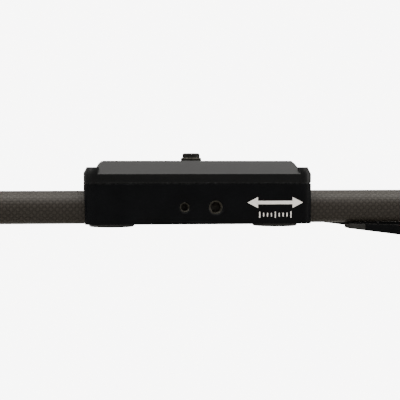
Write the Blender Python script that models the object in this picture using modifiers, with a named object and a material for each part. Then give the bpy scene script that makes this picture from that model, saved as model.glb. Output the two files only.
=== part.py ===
"""Camera slider: a carriage that rolls between two carbon-fibre rail tubes.

Metres. +X runs along the rails, -Y is the front and +Z is up. The origin is on the floor, under the middle.
"""

import math

import bmesh
import bpy
from mathutils import Vector

MM = 0.001
GAP = 0.3 * MM
OVERSHOOT = 5 * MM

ENDS = {"left": -1, "right": 1}
SIDES = {"front": -1, "rear": 1}

# Rails
RAIL_LENGTH = 1200 * MM
TUBE_RADIUS = 10 * MM
TUBE_WALL = 1.5 * MM
RAIL_Y = 38 * MM
RAIL_Z = 39.9 * MM
TUBE_STEPS = 36

# End brackets, measured at the right-hand end
BRACKET_INNER_X = 562 * MM
BRACKET_LENGTH = 40 * MM
BRACKET_BOTTOM = 8 * MM
BRACKET_TOP = 60 * MM
BRACKET_HALF_WIDTH = 57 * MM
BRACKET_FOOT_HALF_WIDTH = 68 * MM
BRACKET_ROUNDING = 4 * MM
WINDOW_HALF_WIDTH = 22 * MM
WINDOW_BOTTOM = 28 * MM
WINDOW_TOP = 52 * MM
WINDOW_DEPTH = 30 * MM
COVER_THICKNESS = 3.7 * MM
BUMPER_RADIUS = 15.5 * MM
BUMPER_LENGTH = 6 * MM
CLAMP_SCREW_RADIUS = 2.1 * MM
CLAMP_HEAD_RADIUS = 3.6 * MM
CLAMP_HEAD_HEIGHT = 4 * MM

# Fold-down legs
LEG_PIVOT_X = 576 * MM
LEG_PIVOT_Z = 14 * MM
LEG_REACH = 154.5 * MM
LEG_WIDTH = 12 * MM
LEG_Y = 40 * MM
LEG_HEAD_RADIUS = 8 * MM
LEG_TIP_LENGTH = 12 * MM
LEG_TIP_TOP = 15.4 * MM
LEG_TIP_BOTTOM = 12 * MM
LEG_SLOT_CEILING = 24 * MM
LEG_SLOT_END = 9.6 * MM
PIVOT_RADIUS = 2.5 * MM
PIVOT_HEAD_RADIUS = 4.5 * MM
PIVOT_HEAD_LENGTH = 2.8 * MM
PIVOT_INNER_Y = 29.5 * MM

# Levelling feet
FOOT_X = 584 * MM
FOOT_Y = 60 * MM
PAD_RADIUS = 10 * MM
PAD_HEIGHT = 4 * MM
WHEEL_RADIUS = 8 * MM
WHEEL_TOP = 7.6 * MM
STEM_RADIUS = 3 * MM
STEM_TOP = 22 * MM

# Carriage
CARRIAGE_X = 320 * MM
CARRIAGE_LENGTH = 150 * MM
CARRIAGE_WIDTH = 110 * MM
CARRIAGE_ROUNDING = 8 * MM
BODY_BOTTOM = 29.9 * MM
BODY_TOP = 56.3 * MM
BODY_WALL = 4.6 * MM
BODY_END_WALL = 2.5 * MM
BODY_ROOF = 2.9 * MM
ARCH_RADIUS = 11.5 * MM
PLATE_BOTTOM = BODY_TOP + GAP
BEVEL_BOTTOM = 62.7 * MM
BEVEL_DEPTH = 10 * MM
LIP_TOP = 67.2 * MM
LIP_CHAMFER = 2.3 * MM
PLATFORM_TOP = 71.4 * MM
PLATFORM_INSET = 9 * MM
PLATFORM_CHAMFER = 1.8 * MM

# Accessory sockets: large takes 3/8"-16, small takes 1/4"-20
SOCKET_Z = 41 * MM
LARGE_SOCKET_RADIUS = 4.4 * MM
SMALL_SOCKET_RADIUS = 3.1 * MM
SOCKET_CHAMFER = 0.8 * MM
LARGE_SOCKET_X = 10.2 * MM
SMALL_SOCKET_X = -10.2 * MM
TRIPOD_SOCKET_TOP = 22 * MM

# Rollers
ROLLER_X = 56.3 * MM
ROLLER_Y = 17.5 * MM
ROLLER_RADIUS = 15.5 * MM
ROLLER_BOTTOM = 26.8 * MM
ROLLER_TOP = 52.6 * MM
ROLLER_CHAMFER = 0.8 * MM
ROLLER_STEPS = 20
GROOVE_POINTS = 5
BEARING_RADIUS = 7 * MM
BEARING_BOTTOM = 35 * MM
BEARING_TOP = 45 * MM
AXLE_RADIUS = 2.5 * MM
AXLE_HEAD_RADIUS = 5.5 * MM
AXLE_HEAD_HEIGHT = 4 * MM
AXLE_SPACER_RADIUS = 4 * MM
AXLE_TOP = 64 * MM

# Camera stud: 3/8"-16
STUD_RADIUS = 4.76 * MM
STUD_TOP = 75.4 * MM
STUD_HEAD_RADIUS = 8.5 * MM
STUD_HEAD_BOTTOM = 57.2 * MM
STUD_HEAD_TOP = 61.4 * MM
LOCK_RING_RADIUS = 7.2 * MM
LOCK_RING_TOP = 73.6 * MM
SEAT_CLEARANCE = 0.4 * MM
SEAT_DEPTH = 0.6 * MM
CAP_RADIUS = 6.2 * MM
CAP_TOP = 76.9 * MM
CAP_ROUNDING = 0.9 * MM
COIN_SLOT_WIDTH = 2 * MM
COIN_SLOT_DEPTH = 1.8 * MM
STUD_ACCESS_RADIUS = 6.5 * MM

# Brake
BRAKE_Z = 41 * MM
KNOB_RADIUS = 11 * MM
KNOB_INNER_Y = 56.2 * MM
KNOB_OUTER_Y = 69.7 * MM
BRAKE_SHAFT_RADIUS = 2.7 * MM
BRAKE_SHAFT_INNER_Y = 51.7 * MM
BRAKE_SHAFT_OUTER_Y = 66 * MM
SHOE_LENGTH = 20 * MM
SHOE_HEIGHT = 12 * MM
SHOE_INNER_Y = 49 * MM
SHOE_OUTER_Y = 51.4 * MM
SHOE_POCKET_Y = 53 * MM

# Rotations that lay a piece made along +Z onto another axis
ALONG_X = (0, math.pi / 2, 0)
ALONG_Y = (-math.pi / 2, 0, 0)
ALONG_MINUS_Y = (math.pi / 2, 0, 0)
ALONG_Z = (0, 0, 0)


def clear_scene():
    for thing in list(bpy.data.objects):
        bpy.data.objects.remove(thing, do_unlink=True)


def new_collection(name):
    group = bpy.data.collections.new(name)
    bpy.context.scene.collection.children.link(group)
    return group


def new_material(name, colour, metallic, roughness):
    material = bpy.data.materials.new(name)
    material.use_nodes = True
    shader = material.node_tree.nodes["Principled BSDF"]
    shader.inputs["Base Color"].default_value = (*colour, 1)
    shader.inputs["Metallic"].default_value = metallic
    shader.inputs["Roughness"].default_value = roughness
    return material


clear_scene()
PARTS = new_collection("camera_slider")
CUTTERS = new_collection("cutters")
ANODISED = new_material("black_anodised", (0.012, 0.013, 0.015), 0.6, 0.45)
CARBON = new_material("carbon_fibre", (0.05, 0.045, 0.042), 0.0, 0.35)
BLACK_STEEL = new_material("black_steel", (0.02, 0.02, 0.018), 0.8, 0.4)
BRIGHT_STEEL = new_material("bright_steel", (0.6, 0.6, 0.6), 1.0, 0.3)
RUBBER = new_material("rubber", (0.02, 0.02, 0.02), 0.0, 0.8)
NYLON = new_material("nylon", (0.03, 0.03, 0.03), 0.0, 0.5)


def place(name, mesh, material, centre, turn):
    """Puts a mesh in the parts, or in the cutters if it has no material."""
    thing = bpy.data.objects.new(name, mesh)
    thing.location = centre
    thing.rotation_euler = turn
    if material is None:
        CUTTERS.objects.link(thing)
        thing.hide_render = True
        thing.display_type = "WIRE"
    else:
        PARTS.objects.link(thing)
        mesh.materials.append(material)
    return thing


def block(name, low, high, material=None):
    """A box between two corners."""
    low = Vector(low)
    high = Vector(high)
    shape = bmesh.new()
    bmesh.ops.create_cube(shape, size=1)
    bmesh.ops.scale(shape, vec=high - low, verts=shape.verts)
    mesh = bpy.data.meshes.new(name)
    shape.to_mesh(mesh)
    shape.free()
    return place(name, mesh, material, (low + high) / 2, ALONG_Z)


def cone(name, radii, length, centre, turn, material=None, steps=24):
    """A cylinder or cone on its own centre; radii are those of its low and high ends along its axis."""
    shape = bmesh.new()
    bmesh.ops.create_cone(
        shape, cap_ends=True, segments=steps, radius1=radii[0], radius2=radii[1], depth=length
    )
    mesh = bpy.data.meshes.new(name)
    shape.to_mesh(mesh)
    shape.free()
    mesh.shade_smooth()
    mesh.set_sharp_from_angle(angle=math.radians(40))
    return place(name, mesh, material, centre, turn)


def rod(name, radius, low, high, turn, material=None, steps=24):
    """A cylinder between two points on one of the axes."""
    low = Vector(low)
    high = Vector(high)
    return cone(name, (radius, radius), (high - low).length, (low + high) / 2, turn, material, steps)


def turned(name, profile, material, centre=(0, 0, 0), turn=ALONG_Z, steps=24):
    """A profile of (radius, height) spun about Z. It runs down its outer side, and closes unless it meets the axis."""
    points = [(radius, 0, height) for radius, height in profile]
    edges = [(index, index + 1) for index in range(len(points) - 1)]
    if profile[0][0] > 0:
        edges.append((len(points) - 1, 0))
    mesh = bpy.data.meshes.new(name)
    mesh.from_pydata(points, edges, [])
    thing = place(name, mesh, material, centre, turn)
    spin = thing.modifiers.new("spin", "SCREW")
    spin.axis = "Z"
    spin.angle = math.tau
    spin.steps = steps
    spin.render_steps = steps
    spin.use_merge_vertices = True
    spin.merge_threshold = 0.00001
    return thing


def rounded(corners, radius, steps=4):
    """The outline with each corner turned into an arc."""
    points = []
    count = len(corners)
    for index, corner in enumerate(corners):
        here = Vector(corner)
        before = (Vector(corners[index - 1]) - here).normalized()
        after = (Vector(corners[(index + 1) % count]) - here).normalized()
        half_angle = before.angle(after) / 2
        middle = here + (before + after).normalized() * radius / math.sin(half_angle)
        start = here + before * radius / math.tan(half_angle) - middle
        end = here + after * radius / math.tan(half_angle) - middle
        sweep = start.angle_signed(end)
        for step in range(steps + 1):
            angle = -sweep * step / steps
            turned_start = Vector(
                (
                    start.x * math.cos(angle) - start.y * math.sin(angle),
                    start.x * math.sin(angle) + start.y * math.cos(angle),
                )
            )
            points.append(tuple(middle + turned_start))
    return points


def prism(name, outline, length, centre, turn, material=None):
    """A flat outline in its own XY plane, thickened to a length along its own Z."""
    curve = bpy.data.curves.new(name, "CURVE")
    curve.dimensions = "2D"
    curve.fill_mode = "BOTH"
    curve.extrude = length / 2
    spline = curve.splines.new("POLY")
    spline.points.add(len(outline) - 1)
    for point, place_on_outline in zip(spline.points, outline):
        point.co = (*place_on_outline, 0, 1)
    spline.use_cyclic_u = True
    drawn = bpy.data.objects.new(name, curve)
    bpy.context.scene.collection.objects.link(drawn)
    graph = bpy.context.evaluated_depsgraph_get()
    mesh = bpy.data.meshes.new_from_object(drawn.evaluated_get(graph))
    bpy.data.objects.remove(drawn, do_unlink=True)
    shape = bmesh.new()
    shape.from_mesh(mesh)
    bmesh.ops.remove_doubles(shape, verts=shape.verts, dist=0.000001)
    bmesh.ops.recalc_face_normals(shape, faces=shape.faces)
    shape.to_mesh(mesh)
    shape.free()
    mesh.materials.clear()
    mesh.shade_smooth()
    mesh.set_sharp_from_angle(angle=math.radians(30))
    return place(name, mesh, material, centre, turn)


# An outline of (y, z) points is stood up across the rails, and one of (x, z) points along them.
ACROSS = (math.pi / 2, 0, math.pi / 2)
ALONG = (math.pi / 2, 0, 0)


def boolean(target, other, operation="DIFFERENCE"):
    modifier = target.modifiers.new(other.name, "BOOLEAN")
    modifier.operation = operation
    modifier.solver = "EXACT"
    modifier.object = other


def soften(target, width):
    """Rounds the sharp edges of a plain piece a little."""
    bevel = target.modifiers.new("soften", "BEVEL")
    bevel.width = width
    bevel.segments = 1
    bevel.limit_method = "ANGLE"
    bevel.angle_limit = math.radians(50)


def mirrored(right_half):
    """A closed outline from its right half, listed from the bottom up."""
    return right_half + [(-across, up) for across, up in reversed(right_half)]


def make_rail(side, sign):
    outer = TUBE_RADIUS
    inner = TUBE_RADIUS - TUBE_WALL
    half = RAIL_LENGTH / 2
    profile = [(inner, half), (outer, half), (outer, -half), (inner, -half)]
    turned(
        f"{side}_rail_tube", profile, CARBON, (0, sign * RAIL_Y, RAIL_Z), ALONG_X, TUBE_STEPS
    )


def bracket_outline():
    foot_top = BRACKET_BOTTOM + 14 * MM
    shoulder = 8 * MM
    right_half = [
        (BRACKET_FOOT_HALF_WIDTH, BRACKET_BOTTOM),
        (BRACKET_FOOT_HALF_WIDTH, foot_top),
        (BRACKET_HALF_WIDTH, foot_top + shoulder),
        (BRACKET_HALF_WIDTH, BRACKET_TOP - shoulder),
        (BRACKET_HALF_WIDTH - shoulder, BRACKET_TOP),
    ]
    return rounded(mirrored(right_half), BRACKET_ROUNDING, 3)


def cut_bracket_window(bracket, end, sign):
    near = sign * (BRACKET_INNER_X - OVERSHOOT)
    far = sign * (BRACKET_INNER_X + WINDOW_DEPTH)
    low = (min(near, far), -WINDOW_HALF_WIDTH, WINDOW_BOTTOM)
    high = (max(near, far), WINDOW_HALF_WIDTH, WINDOW_TOP)
    boolean(bracket, block(f"{end}_window_cutter", low, high))


def cut_tripod_socket(bracket, end, sign):
    x = sign * (BRACKET_INNER_X + BRACKET_LENGTH / 2)
    low = (x, 0, BRACKET_BOTTOM - OVERSHOOT)
    high = (x, 0, TRIPOD_SOCKET_TOP)
    boolean(bracket, rod(f"{end}_tripod_cutter", LARGE_SOCKET_RADIUS, low, high, ALONG_Z))


def cut_bracket_corner(bracket, corner, end_sign, side_sign):
    """The tube bore, leg slot, pivot hole, foot hole and clamp-screw hole of one corner."""
    tube_y = side_sign * RAIL_Y
    middle_x = end_sign * (BRACKET_INNER_X + BRACKET_LENGTH / 2)
    bore_ends = [
        (middle_x + offset, tube_y, RAIL_Z) for offset in (-BRACKET_LENGTH, BRACKET_LENGTH)
    ]
    bore = rod(
        f"{corner}_bore_cutter", TUBE_RADIUS + GAP, *bore_ends, ALONG_X, steps=TUBE_STEPS
    )
    boolean(bracket, bore)

    slot_x = sorted(
        (end_sign * (BRACKET_INNER_X - OVERSHOOT), end_sign * (LEG_PIVOT_X + LEG_SLOT_END))
    )
    slot_half = LEG_WIDTH / 2 + 2 * GAP
    slot_y = sorted((side_sign * (LEG_Y - slot_half), side_sign * (LEG_Y + slot_half)))
    slot = block(
        f"{corner}_slot_cutter",
        (slot_x[0], slot_y[0], BRACKET_BOTTOM - OVERSHOOT),
        (slot_x[1], slot_y[1], LEG_SLOT_CEILING),
    )
    boolean(bracket, slot)

    pivot_x = end_sign * LEG_PIVOT_X
    outer_y = BRACKET_FOOT_HALF_WIDTH + OVERSHOOT
    hole = rod(
        f"{corner}_pivot_cutter",
        PIVOT_RADIUS + GAP,
        (pivot_x, side_sign * (PIVOT_INNER_Y - GAP), LEG_PIVOT_Z),
        (pivot_x, side_sign * outer_y, LEG_PIVOT_Z),
        ALONG_Y,
        steps=14,
    )
    boolean(bracket, hole)
    recess_y = BRACKET_FOOT_HALF_WIDTH - PIVOT_HEAD_LENGTH - 2 * GAP
    recess = rod(
        f"{corner}_pivot_recess_cutter",
        PIVOT_HEAD_RADIUS + GAP,
        (pivot_x, side_sign * recess_y, LEG_PIVOT_Z),
        (pivot_x, side_sign * outer_y, LEG_PIVOT_Z),
        ALONG_Y,
        steps=14,
    )
    boolean(bracket, recess)

    foot_x = end_sign * FOOT_X
    foot_y = side_sign * FOOT_Y
    foot_hole = rod(
        f"{corner}_foot_cutter",
        STEM_RADIUS + GAP,
        (foot_x, foot_y, BRACKET_BOTTOM - OVERSHOOT),
        (foot_x, foot_y, BRACKET_TOP),
        ALONG_Z,
        steps=12,
    )
    boolean(bracket, foot_hole)

    screw_hole = rod(
        f"{corner}_clamp_cutter",
        CLAMP_SCREW_RADIUS + GAP,
        (middle_x, tube_y, RAIL_Z),
        (middle_x, tube_y, BRACKET_TOP + OVERSHOOT),
        ALONG_Z,
        steps=12,
    )
    boolean(bracket, screw_hole)
    head_bottom = BRACKET_TOP - CLAMP_HEAD_HEIGHT - 3 * GAP
    screw_recess = rod(
        f"{corner}_clamp_recess_cutter",
        CLAMP_HEAD_RADIUS + GAP,
        (middle_x, tube_y, head_bottom),
        (middle_x, tube_y, BRACKET_TOP + OVERSHOOT),
        ALONG_Z,
        steps=14,
    )
    boolean(bracket, screw_recess)


def make_bracket(end, sign):
    centre_x = sign * (BRACKET_INNER_X + BRACKET_LENGTH / 2)
    bracket = prism(
        f"{end}_end_bracket", bracket_outline(), BRACKET_LENGTH, (centre_x, 0, 0), ACROSS, ANODISED
    )
    cut_bracket_window(bracket, end, sign)
    cut_tripod_socket(bracket, end, sign)
    for side, side_sign in SIDES.items():
        cut_bracket_corner(bracket, f"{side}_{end}", sign, side_sign)


def make_end_cover(end, sign):
    border = 3 * MM
    low = BRACKET_BOTTOM + 18 * MM
    high = BRACKET_TOP - border
    half = BRACKET_HALF_WIDTH - border
    outline = rounded([(half, low), (half, high), (-half, high), (-half, low)], 2 * border, 4)
    outer_face = BRACKET_INNER_X + BRACKET_LENGTH + GAP
    centre = (sign * (outer_face + COVER_THICKNESS / 2), 0, 0)
    cover = prism(f"{end}_end_cover", outline, COVER_THICKNESS, centre, ACROSS, ANODISED)
    soften(cover, 0.8 * MM)


def make_bumper(end, end_sign, side, side_sign):
    half = BUMPER_LENGTH / 2
    inner = TUBE_RADIUS + GAP
    rounding = 1.2 * MM
    profile = [
        (inner, half),
        (BUMPER_RADIUS - rounding, half),
        (BUMPER_RADIUS, half - rounding),
        (BUMPER_RADIUS, rounding - half),
        (BUMPER_RADIUS - rounding, -half),
        (inner, -half),
    ]
    x = end_sign * (BRACKET_INNER_X - GAP - half)
    turned(
        f"{side}_{end}_bumper", profile, RUBBER, (x, side_sign * RAIL_Y, RAIL_Z), ALONG_X, 24
    )


def make_clamp_screw(end, end_sign, side, side_sign):
    head_top = BRACKET_TOP - GAP
    head_bottom = head_top - CLAMP_HEAD_HEIGHT
    socket_radius = 1.7 * MM
    socket_bottom = head_top - 2.2 * MM
    tip = RAIL_Z + TUBE_RADIUS + GAP
    profile = [
        (0, socket_bottom),
        (socket_radius, socket_bottom),
        (socket_radius, head_top),
        (CLAMP_HEAD_RADIUS, head_top),
        (CLAMP_HEAD_RADIUS, head_bottom),
        (CLAMP_SCREW_RADIUS, head_bottom),
        (CLAMP_SCREW_RADIUS, tip),
        (0, tip),
    ]
    x = end_sign * (BRACKET_INNER_X + BRACKET_LENGTH / 2)
    turned(
        f"{side}_{end}_clamp_screw", profile, BLACK_STEEL, (x, side_sign * RAIL_Y, 0), steps=12
    )


def leg_edges(reach):
    """The heights of the leg's top and bottom edges at a distance from its pivot, above the pivot."""
    share = reach / LEG_REACH
    top = LEG_HEAD_RADIUS + (LEG_TIP_TOP - LEG_HEAD_RADIUS) * share
    bottom = -LEG_HEAD_RADIUS + (LEG_TIP_BOTTOM + LEG_HEAD_RADIUS) * share
    return top, bottom


def leg_outline(end_sign):
    """The wedge in (x, z) about its pivot: a round head, and straight edges that narrow towards the middle."""
    reach = LEG_REACH - LEG_TIP_LENGTH
    top, bottom = leg_edges(reach)
    head = []
    for step in range(9):
        angle = math.radians(90 + 180 * step / 8)
        head.append((LEG_HEAD_RADIUS * math.cos(angle), LEG_HEAD_RADIUS * math.sin(angle)))
    outline = head + [(reach, bottom), (reach, top)]
    return [(-end_sign * x, z) for x, z in outline]


def tip_outline(end_sign):
    start = LEG_REACH - LEG_TIP_LENGTH + GAP
    start_top, start_bottom = leg_edges(start)
    corners = [
        (start, start_bottom),
        (LEG_REACH, LEG_TIP_BOTTOM),
        (LEG_REACH, LEG_TIP_TOP),
        (start, start_top),
    ]
    return [(-end_sign * x, z) for x, z in corners]


def make_leg(end, end_sign, side, side_sign):
    corner = f"{side}_{end}"
    centre = (end_sign * LEG_PIVOT_X, side_sign * LEG_Y, LEG_PIVOT_Z)
    leg = prism(f"{corner}_leg", leg_outline(end_sign), LEG_WIDTH, centre, ALONG, ANODISED)
    hole = rod(
        f"{corner}_leg_hole_cutter",
        PIVOT_RADIUS + GAP,
        (centre[0], centre[1] - LEG_WIDTH, LEG_PIVOT_Z),
        (centre[0], centre[1] + LEG_WIDTH, LEG_PIVOT_Z),
        ALONG_Y,
        steps=14,
    )
    boolean(leg, hole)
    prism(f"{corner}_leg_tip", tip_outline(end_sign), LEG_WIDTH, centre, ALONG, RUBBER)


def make_leg_pivot(end, end_sign, side, side_sign):
    head_outer = BRACKET_FOOT_HALF_WIDTH - GAP
    head_inner = head_outer - PIVOT_HEAD_LENGTH
    profile = [
        (0, head_outer),
        (PIVOT_HEAD_RADIUS, head_outer),
        (PIVOT_HEAD_RADIUS, head_inner),
        (PIVOT_RADIUS, head_inner),
        (PIVOT_RADIUS, PIVOT_INNER_Y),
        (0, PIVOT_INNER_Y),
    ]
    turn = ALONG_Y if side_sign > 0 else ALONG_MINUS_Y
    centre = (end_sign * LEG_PIVOT_X, 0, LEG_PIVOT_Z)
    turned(f"{side}_{end}_leg_pivot", profile, BLACK_STEEL, centre, turn, 12)


def make_foot(end, end_sign, side, side_sign):
    corner = f"{side}_{end}"
    centre = (end_sign * FOOT_X, side_sign * FOOT_Y, 0)
    rounding = 1 * MM
    wheel_bottom = PAD_HEIGHT + GAP
    stem = [
        (0, STEM_TOP),
        (STEM_RADIUS - rounding / 2, STEM_TOP),
        (STEM_RADIUS, STEM_TOP - rounding / 2),
        (STEM_RADIUS, WHEEL_TOP),
        (WHEEL_RADIUS, WHEEL_TOP),
        (WHEEL_RADIUS, wheel_bottom),
        (0, wheel_bottom),
    ]
    turned(f"{corner}_foot_stem", stem, BRIGHT_STEEL, centre, steps=16)
    pad = [
        (0, PAD_HEIGHT),
        (PAD_RADIUS - rounding, PAD_HEIGHT),
        (PAD_RADIUS, PAD_HEIGHT - rounding),
        (PAD_RADIUS, 0),
        (0, 0),
    ]
    turned(f"{corner}_foot_pad", pad, RUBBER, centre, steps=20)


def carriage_plan():
    half_length = CARRIAGE_LENGTH / 2
    half_width = CARRIAGE_WIDTH / 2
    corners = [
        (half_length, -half_width),
        (half_length, half_width),
        (-half_length, half_width),
        (-half_length, -half_width),
    ]
    return rounded(corners, CARRIAGE_ROUNDING, 6)


def roller_places():
    for side, side_sign in SIDES.items():
        for end, end_sign in ENDS.items():
            yield f"{side}_{end}", CARRIAGE_X + end_sign * ROLLER_X, side_sign * ROLLER_Y


def cut_front_socket(body, name, offset, radius):
    face_y = -CARRIAGE_WIDTH / 2
    x = CARRIAGE_X + offset
    hole = rod(
        f"{name}_cutter",
        radius,
        (x, face_y - OVERSHOOT, SOCKET_Z),
        (x, face_y + BODY_WALL + 1 * MM, SOCKET_Z),
        ALONG_Y,
    )
    boolean(body, hole)
    mouth_length = 2 * SOCKET_CHAMFER
    mouth = cone(
        f"{name}_mouth_cutter",
        (radius + mouth_length, radius),
        mouth_length,
        (x, face_y, SOCKET_Z),
        ALONG_Y,
    )
    boolean(body, mouth)


def cut_brake_hole(body):
    rear_face = CARRIAGE_WIDTH / 2
    hole = rod(
        "brake_hole_cutter",
        BRAKE_SHAFT_RADIUS + GAP,
        (CARRIAGE_X, SHOE_INNER_Y - OVERSHOOT, BRAKE_Z),
        (CARRIAGE_X, rear_face + OVERSHOOT, BRAKE_Z),
        ALONG_Y,
        steps=14,
    )
    boolean(body, hole)
    half_length = SHOE_LENGTH / 2 + GAP
    half_height = SHOE_HEIGHT / 2 + GAP
    pocket = block(
        "brake_pocket_cutter",
        (CARRIAGE_X - half_length, SHOE_INNER_Y - OVERSHOOT, BRAKE_Z - half_height),
        (CARRIAGE_X + half_length, SHOE_POCKET_Y, BRAKE_Z + half_height),
    )
    boolean(body, pocket)


def make_carriage_body():
    height = BODY_TOP - BODY_BOTTOM
    centre = (CARRIAGE_X, 0, BODY_BOTTOM + height / 2)
    body = prism("carriage_body", carriage_plan(), height, centre, ALONG_Z, ANODISED)

    inside_x = CARRIAGE_LENGTH / 2 - BODY_END_WALL
    inside_y = CARRIAGE_WIDTH / 2 - BODY_WALL
    hollow = block(
        "carriage_hollow_cutter",
        (CARRIAGE_X - inside_x, -inside_y, BODY_BOTTOM - OVERSHOOT),
        (CARRIAGE_X + inside_x, inside_y, BODY_TOP - BODY_ROOF),
    )
    boolean(body, hollow)

    beyond = CARRIAGE_LENGTH / 2 + OVERSHOOT
    for side, sign in SIDES.items():
        tube_y = sign * RAIL_Y
        arch = rod(
            f"{side}_arch_cutter",
            ARCH_RADIUS,
            (CARRIAGE_X - beyond, tube_y, RAIL_Z),
            (CARRIAGE_X + beyond, tube_y, RAIL_Z),
            ALONG_X,
            steps=32,
        )
        boolean(body, arch)
        legroom = block(
            f"{side}_arch_foot_cutter",
            (CARRIAGE_X - beyond, tube_y - ARCH_RADIUS, BODY_BOTTOM - OVERSHOOT),
            (CARRIAGE_X + beyond, tube_y + ARCH_RADIUS, RAIL_Z),
        )
        boolean(body, legroom)

    cut_front_socket(body, "large_socket", LARGE_SOCKET_X, LARGE_SOCKET_RADIUS)
    cut_front_socket(body, "small_socket", SMALL_SOCKET_X, SMALL_SOCKET_RADIUS)
    cut_brake_hole(body)

    roof_low = BODY_TOP - BODY_ROOF - OVERSHOOT
    roof_high = BODY_TOP + OVERSHOOT
    access = rod(
        "stud_access_cutter",
        STUD_ACCESS_RADIUS,
        (CARRIAGE_X, 0, roof_low),
        (CARRIAGE_X, 0, roof_high),
        ALONG_Z,
    )
    boolean(body, access)
    for corner, x, y in roller_places():
        hole = rod(
            f"{corner}_roof_hole_cutter",
            AXLE_RADIUS + GAP,
            (x, y, roof_low),
            (x, y, roof_high),
            ALONG_Z,
            steps=12,
        )
        boolean(body, hole)


def plate_length_profile():
    """The plate seen from the front, in (x, z): a chamfered lip at each end of a raised platform."""
    half = CARRIAGE_LENGTH / 2
    beyond = 1 * MM
    lip_drop = beyond * (LIP_TOP - BEVEL_BOTTOM) / LIP_CHAMFER
    platform_half = half - PLATFORM_INSET
    above = 2 * MM
    right_half = [
        (half + beyond, PLATE_BOTTOM - OVERSHOOT),
        (half + beyond, BEVEL_BOTTOM - lip_drop),
        (half - LIP_CHAMFER, LIP_TOP),
        (platform_half, LIP_TOP),
        (platform_half, PLATFORM_TOP - PLATFORM_CHAMFER),
        (platform_half - PLATFORM_CHAMFER - above, PLATFORM_TOP + above),
    ]
    return mirrored(right_half)


def cut_plate_bevel(plate, side, sign):
    """The long facet between two corners of the plate, cut by a wedge drawn in (y, z)."""
    half = CARRIAGE_WIDTH / 2
    slope = (PLATFORM_TOP - BEVEL_BOTTOM) / BEVEL_DEPTH
    beyond = 2 * MM
    outer = sign * (half + beyond)
    inner = sign * (half - BEVEL_DEPTH - beyond)
    high = PLATFORM_TOP + beyond * slope
    wedge = [(outer, BEVEL_BOTTOM - beyond * slope), (outer, high), (inner, high)]
    cutter = prism(
        f"{side}_bevel_cutter",
        wedge,
        CARRIAGE_LENGTH - 2 * CARRIAGE_ROUNDING,
        (CARRIAGE_X, 0, 0),
        ACROSS,
    )
    boolean(plate, cutter)


def make_top_plate():
    height = PLATFORM_TOP - PLATE_BOTTOM
    centre = (CARRIAGE_X, 0, PLATE_BOTTOM + height / 2)
    plate = prism("top_plate", carriage_plan(), height, centre, ALONG_Z, ANODISED)
    lengthwise = prism(
        "plate_length_cutter",
        plate_length_profile(),
        CARRIAGE_WIDTH + 2 * OVERSHOOT,
        (CARRIAGE_X, 0, 0),
        ALONG,
    )
    boolean(plate, lengthwise, "INTERSECT")
    for side, sign in SIDES.items():
        cut_plate_bevel(plate, side, sign)

    below = PLATE_BOTTOM - OVERSHOOT
    stud_hole = rod(
        "stud_hole_cutter",
        STUD_RADIUS + GAP,
        (CARRIAGE_X, 0, below),
        (CARRIAGE_X, 0, PLATFORM_TOP + OVERSHOOT),
        ALONG_Z,
    )
    boolean(plate, stud_hole)
    ring_seat = rod(
        "ring_seat_cutter",
        LOCK_RING_RADIUS + SEAT_CLEARANCE,
        (CARRIAGE_X, 0, PLATFORM_TOP - SEAT_DEPTH),
        (CARRIAGE_X, 0, PLATFORM_TOP + OVERSHOOT),
        ALONG_Z,
    )
    boolean(plate, ring_seat)
    stud_recess = rod(
        "stud_recess_cutter",
        STUD_HEAD_RADIUS + GAP,
        (CARRIAGE_X, 0, below),
        (CARRIAGE_X, 0, STUD_HEAD_TOP + GAP),
        ALONG_Z,
    )
    boolean(plate, stud_recess)
    for corner, x, y in roller_places():
        hole = rod(
            f"{corner}_plate_hole_cutter",
            AXLE_RADIUS + GAP,
            (x, y, below),
            (x, y, AXLE_TOP + GAP),
            ALONG_Z,
            steps=12,
        )
        boolean(plate, hole)


def roller_profile():
    """Down the outer side: a top flange, the groove that fits round the tube, and a bottom flange."""
    tube_distance = RAIL_Y - ROLLER_Y
    groove_radius = TUBE_RADIUS + GAP
    flange_angle = math.acos((tube_distance - ROLLER_RADIUS) / groove_radius)
    upper = BEARING_TOP + GAP
    groove = []
    for step in range(GROOVE_POINTS + 1):
        angle = flange_angle * (1 - 2 * step / GROOVE_POINTS)
        radius = tube_distance - groove_radius * math.cos(angle)
        groove.append((radius, RAIL_Z + groove_radius * math.sin(angle)))
    seat = BEARING_RADIUS + GAP
    spacer_hole = AXLE_SPACER_RADIUS + 3 * GAP
    return [
        (spacer_hole, ROLLER_TOP),
        (ROLLER_RADIUS - ROLLER_CHAMFER, ROLLER_TOP),
        (ROLLER_RADIUS, ROLLER_TOP - ROLLER_CHAMFER),
        *groove,
        (ROLLER_RADIUS, ROLLER_BOTTOM + ROLLER_CHAMFER),
        (ROLLER_RADIUS - ROLLER_CHAMFER, ROLLER_BOTTOM),
        (seat, ROLLER_BOTTOM),
        (seat, upper),
        (spacer_hole, upper),
    ]


def make_roller(corner, x, y):
    turned(f"{corner}_roller", roller_profile(), NYLON, (x, y, 0), steps=ROLLER_STEPS)
    inner = AXLE_RADIUS + GAP
    bearing = [
        (inner, BEARING_TOP),
        (BEARING_RADIUS, BEARING_TOP),
        (BEARING_RADIUS, BEARING_BOTTOM),
        (inner, BEARING_BOTTOM),
    ]
    turned(f"{corner}_bearing", bearing, BRIGHT_STEEL, (x, y, 0), steps=16)


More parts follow.
